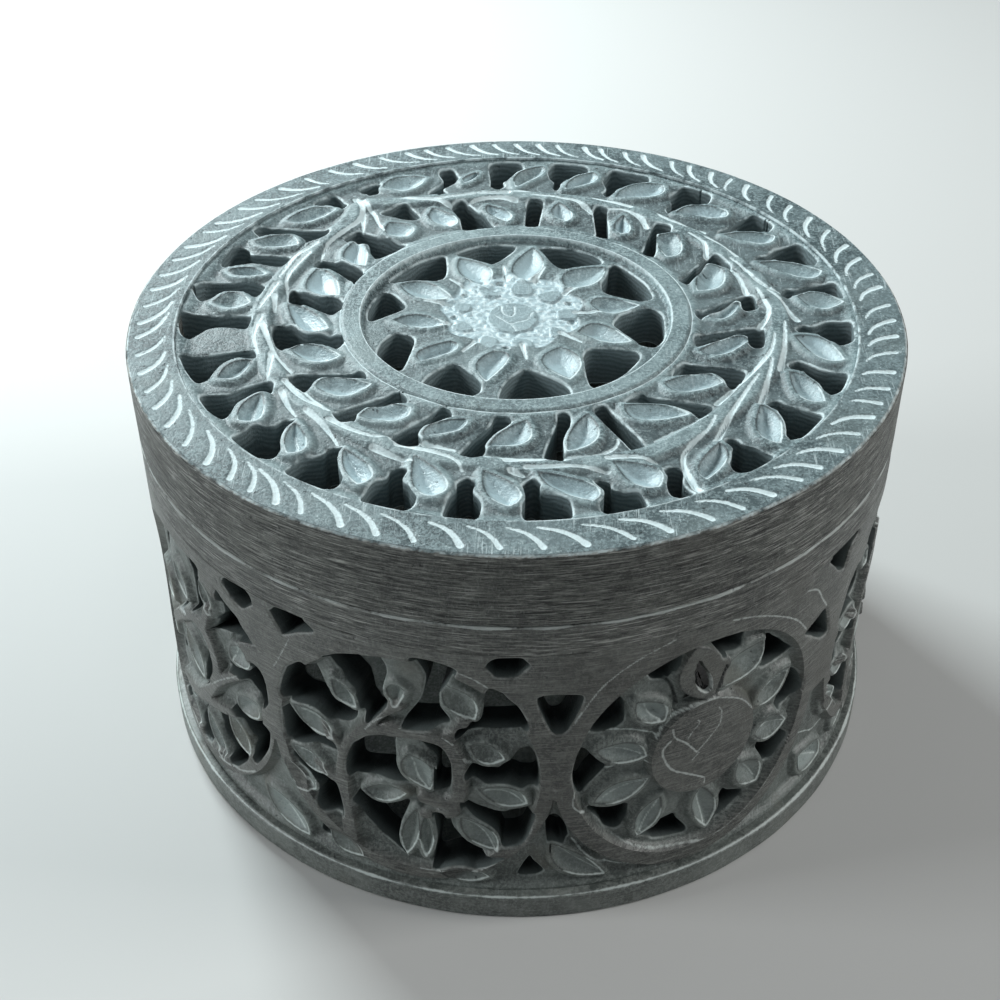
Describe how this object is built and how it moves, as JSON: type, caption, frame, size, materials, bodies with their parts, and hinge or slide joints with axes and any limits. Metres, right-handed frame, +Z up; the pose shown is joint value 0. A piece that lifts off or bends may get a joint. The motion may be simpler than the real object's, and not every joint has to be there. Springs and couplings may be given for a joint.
{
  "type": "trinket box",
  "caption": "Round pierced soapstone trinket box with a carved flower and vine pattern and a lift-off lid.",
  "frame": {"origin": "middle of the base's underside", "axes": "+Z up through the lid, -Y towards the front, which is the side that the picture shows, +X to the right"},
  "size_m": [0.102, 0.102, 0.0595],
  "materials": {
    "body_stone": "grey-brown soapstone, sanded round the side, matt in the carving",
    "lid_stone": "pale grey-green soapstone with chalky white tool marks"
  },
  "bodies": {
    "box_body": {"box_body": "body_stone"},
    "lid": {"lid": "lid_stone"}
  },
  "joints": [
    {"name": "lid_lift", "type": "slide", "parent": "box_body", "child": "lid", "axis": [0, 0, 1], "range_m": [0, 0.06]}
  ]
}
